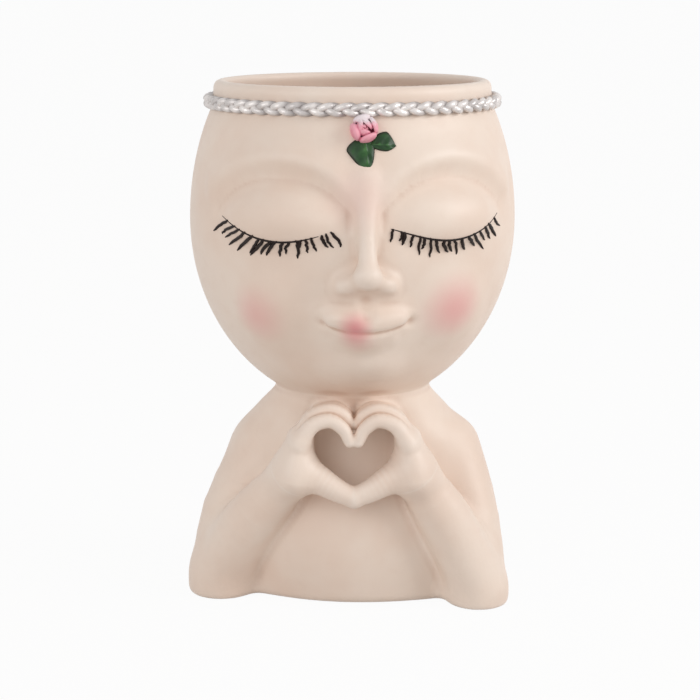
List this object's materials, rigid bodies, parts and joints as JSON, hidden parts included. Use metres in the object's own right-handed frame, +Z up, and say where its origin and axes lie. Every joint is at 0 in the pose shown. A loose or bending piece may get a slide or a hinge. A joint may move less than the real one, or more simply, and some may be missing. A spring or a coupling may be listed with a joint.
{
  "type": "head planter",
  "caption": "Head-shaped planter with closed lashes, a plaited circlet with a rose, and a bust whose hands form a heart; the head is the pot, with a drain closed by a pull-out plug.",
  "frame": {"origin": "on the ground under the middle of the whole planter", "axes": "+Z up, -Y towards the viewer, where the face and hands look; +X to the viewer's right, the figure's own left"},
  "size_m": [0.131, 0.1262, 0.2065],
  "materials": {
    "cream_resin": "satin painted polyresin, warm cream",
    "silver_paint": "silver-white paint, brushed on",
    "rose_pink": "pink paint, semi-gloss",
    "leaf_green": "dark green paint, glossy",
    "lash_enamel": "brown-black enamel",
    "plug_rubber": "matt black rubber"
  },
  "bodies": {
    "planter": {"head_pot": "cream_resin", "bust": "cream_resin", "right_forearm": "cream_resin", "left_forearm": "cream_resin", "right_hand": "cream_resin", "left_hand": "cream_resin", "circlet": "silver_paint", "rose_bud": "rose_pink", "rose_petals": "rose_pink", "lower_leaf": "leaf_green", "upper_leaf": "leaf_green", "right_lashes": "lash_enamel", "left_lashes": "lash_enamel"},
    "plug": {"drain_plug": "plug_rubber"}
  },
  "joints": [
    {"name": "plug_pull", "type": "slide", "parent": "planter", "child": "plug", "axis": [0, 0, -1], "range_m": [0, 0.02]}
  ]
}
